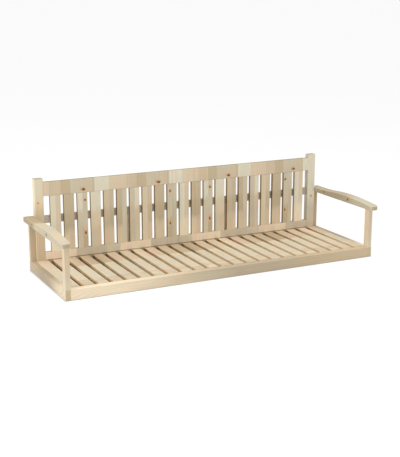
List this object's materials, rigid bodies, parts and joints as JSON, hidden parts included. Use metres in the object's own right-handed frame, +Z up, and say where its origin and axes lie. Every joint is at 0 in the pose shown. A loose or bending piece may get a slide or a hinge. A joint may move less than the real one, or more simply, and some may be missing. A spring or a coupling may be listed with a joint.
{
  "type": "porch swing",
  "caption": "Long slatted porch swing seat in pale unfinished softwood, with an upright slatted back and humped armrests, without its hanging chains.",
  "frame": {"origin": "centre of the bounding box in plan, on the plane of the seat frame's underside", "axes": "+X along the seat's length, to the right seen from the front; +Y from the front rail to the back; +Z up"},
  "size_m": [2.05, 0.69, 0.555],
  "materials": {
    "seat_pine": "planed, unfinished, satin-matte",
    "back_pine": "planed, unfinished, satin-matte",
    "back_frame_pine": "planed, unfinished, satin-matte",
    "seat_frame_pine": "planed, unfinished, satin-matte",
    "arm_pine": "planed, unfinished, satin-matte",
    "zinc_steel": "zinc plated, dull"
  },
  "bodies": {
    "root": {"armrest_left": "arm_pine", "armrest_right": "arm_pine", "back_bottom_rail": "back_frame_pine", "back_middle_rail": "back_pine", "back_post_left": "back_frame_pine", "back_post_right": "back_frame_pine", "back_slat_01": "back_pine", "back_slat_02": "back_pine", "back_slat_03": "back_pine", "back_slat_04": "back_pine", "back_slat_05": "back_pine", "back_slat_06": "back_pine", "back_slat_07": "back_pine", "back_slat_08": "back_pine", "back_slat_09": "back_pine", "back_slat_10": "back_pine", "back_slat_11": "back_pine", "back_slat_12": "back_pine", "back_slat_13": "back_pine", "back_slat_14": "back_pine", "back_slat_15": "back_pine", "back_slat_16": "back_pine", "back_slat_17": "back_pine", "back_slat_18": "back_pine", "back_slat_19": "back_pine", "back_slat_20": "back_pine", "back_slat_21": "back_pine", "back_struts": "back_pine", "back_top_rail": "back_frame_pine", "front_arm_posts": "arm_pine", "front_rail": "seat_frame_pine", "rear_arm_posts": "arm_pine", "rear_rail": "seat_frame_pine", "seat_bearers": "seat_frame_pine", "seat_slat_01": "seat_pine", "seat_slat_02": "seat_pine", "seat_slat_03": "seat_pine", "seat_slat_04": "seat_pine", "seat_slat_05": "seat_pine", "seat_slat_06": "seat_pine", "seat_slat_07": "seat_pine", "seat_slat_08": "seat_pine", "seat_slat_09": "seat_pine", "seat_slat_10": "seat_pine", "seat_slat_11": "seat_pine", "seat_slat_12": "seat_pine", "seat_slat_13": "seat_pine", "seat_slat_14": "seat_pine", "seat_slat_15": "seat_pine", "seat_slat_16": "seat_pine", "seat_slat_17": "seat_pine", "seat_slat_18": "seat_pine", "seat_slat_19": "seat_pine", "seat_slat_20": "seat_pine", "seat_slat_21": "seat_pine", "seat_slat_22": "seat_pine", "seat_slat_23": "seat_pine", "side_rail_left": "seat_frame_pine", "side_rail_right": "seat_frame_pine", "wood_screws": "zinc_steel"}
  },
  "joints": []
}
